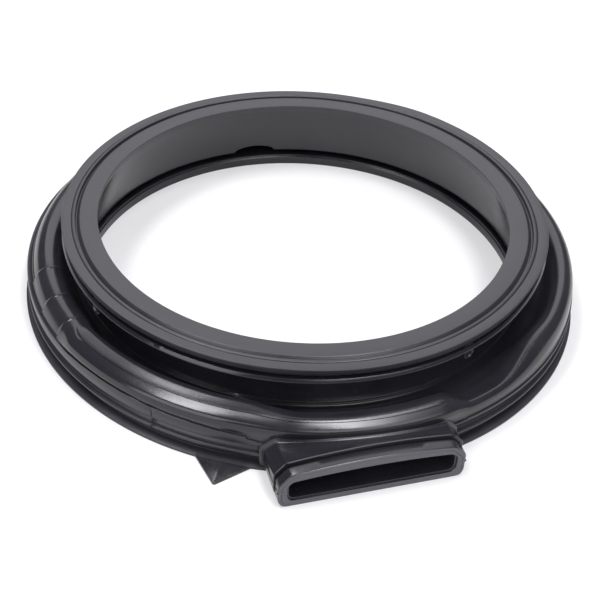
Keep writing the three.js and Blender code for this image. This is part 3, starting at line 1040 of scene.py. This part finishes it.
def soft_light(name, place, aim, width, height, radiance):
    """A rectangular lamp at a place, turned by the aim matrix, of an even radiance over its face."""
    lamp = bpy.data.lights.new(name, "AREA")
    lamp.shape = "RECTANGLE"
    lamp.size = width
    lamp.size_y = height
    lamp.energy = 4 * width * height * radiance
    lamp.color = LAMP_COLOUR
    holder = bpy.data.objects.new(name, lamp)
    holder.matrix_world = Matrix.Translation(place) @ aim
    bpy.context.scene.collection.objects.link(holder)


def lamps():
    """Softboxes given by direction and angular size, and panels that hang level above the ring."""
    target = Vector((0, AXIS_SHIFT * MM, TOTAL_HEIGHT * MM))
    for name, azimuth, elevation, wide, tall, radiance in SOFTBOXES:
        width = 2 * SOFTBOX_DISTANCE * math.tan(math.radians(wide / 2))
        height = 2 * SOFTBOX_DISTANCE * math.tan(math.radians(tall / 2))
        place = target + direction(azimuth, elevation) * SOFTBOX_DISTANCE
        aim = (target - place).to_track_quat("-Z", "Y").to_matrix().to_4x4()
        soft_light(name, place, aim, width, height, radiance)
    for name, middle, length, width, heading, radiance in CEILING_PANELS:
        place = target + Vector((*middle, 1)) * PANEL_HEIGHT
        aim = Matrix.Rotation(math.radians(heading), 4, "Z")
        soft_light(name, place, aim, length * PANEL_HEIGHT, width * PANEL_HEIGHT, radiance)


def paper_floor():
    """A large pale floor that takes a soft shadow and looks white."""
    bm = bmesh.new()
    bmesh.ops.create_grid(bm, x_segments=1, y_segments=1, size=FLOOR_HALF_SIZE)
    mesh = bpy.data.meshes.new("floor")
    bm.to_mesh(mesh)
    bm.free()
    floor = bpy.data.objects.new("floor", mesh)
    bpy.context.scene.collection.objects.link(floor)
    material = bpy.data.materials.new("white_paper")
    material.use_nodes = True
    tree = material.node_tree
    shader = tree.nodes["Principled BSDF"]
    shader.inputs["Base Color"].default_value = (FLOOR_GREY, FLOOR_GREY, FLOOR_GREY, 1)
    shader.inputs["Roughness"].default_value = 1
    shader.inputs["Specular IOR Level"].default_value = 0
    shader.inputs["Emission Color"].default_value = (1, 1, 1, 1)
    rays = tree.nodes.new("ShaderNodeLightPath")
    seen = math_node(tree, "MAXIMUM", rays.outputs["Is Camera Ray"], rays.outputs["Is Glossy Ray"])
    seen = math_node(tree, "MAXIMUM", seen, rays.outputs["Is Transmission Ray"])
    tree.links.new(math_node(tree, "MULTIPLY", seen, FLOOR_GLOW), shader.inputs["Emission Strength"])
    floor.data.materials.append(material)


def studio():
    paper_floor()
    lamps()
    world = bpy.data.worlds.new("studio")
    bpy.context.scene.world = world
    world.use_nodes = True
    background = world.node_tree.nodes["Background"]
    background.inputs["Color"].default_value = (*LAMP_COLOUR, 1)
    background.inputs["Strength"].default_value = WORLD_LEVEL


def camera():
    """The camera at the photo's angle, with its axes and its place in metres as the matrix's columns."""
    data = bpy.data.cameras.new("camera")
    data.lens = 78.34
    data.sensor_width = 36
    data.clip_start = 0.05
    data.clip_end = 50
    eye = bpy.data.objects.new("camera", data)
    bpy.context.scene.collection.objects.link(eye)
    eye.matrix_world = Matrix((
        (0.9596, 0.1366, -0.2457, -0.2527),
        (-0.2770, 0.6092, -0.7430, -0.7580),
        (0.0482, 0.7811, 0.6225, 0.6205),
        (0, 0, 0, 1),
    ))
    bpy.context.scene.camera = eye


seal = door_seal()
seal.data.materials.append(rubber_material())
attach(seal, "root")
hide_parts("door_seal")
studio()
camera()
bpy.context.scene.view_settings.view_transform = "Standard"
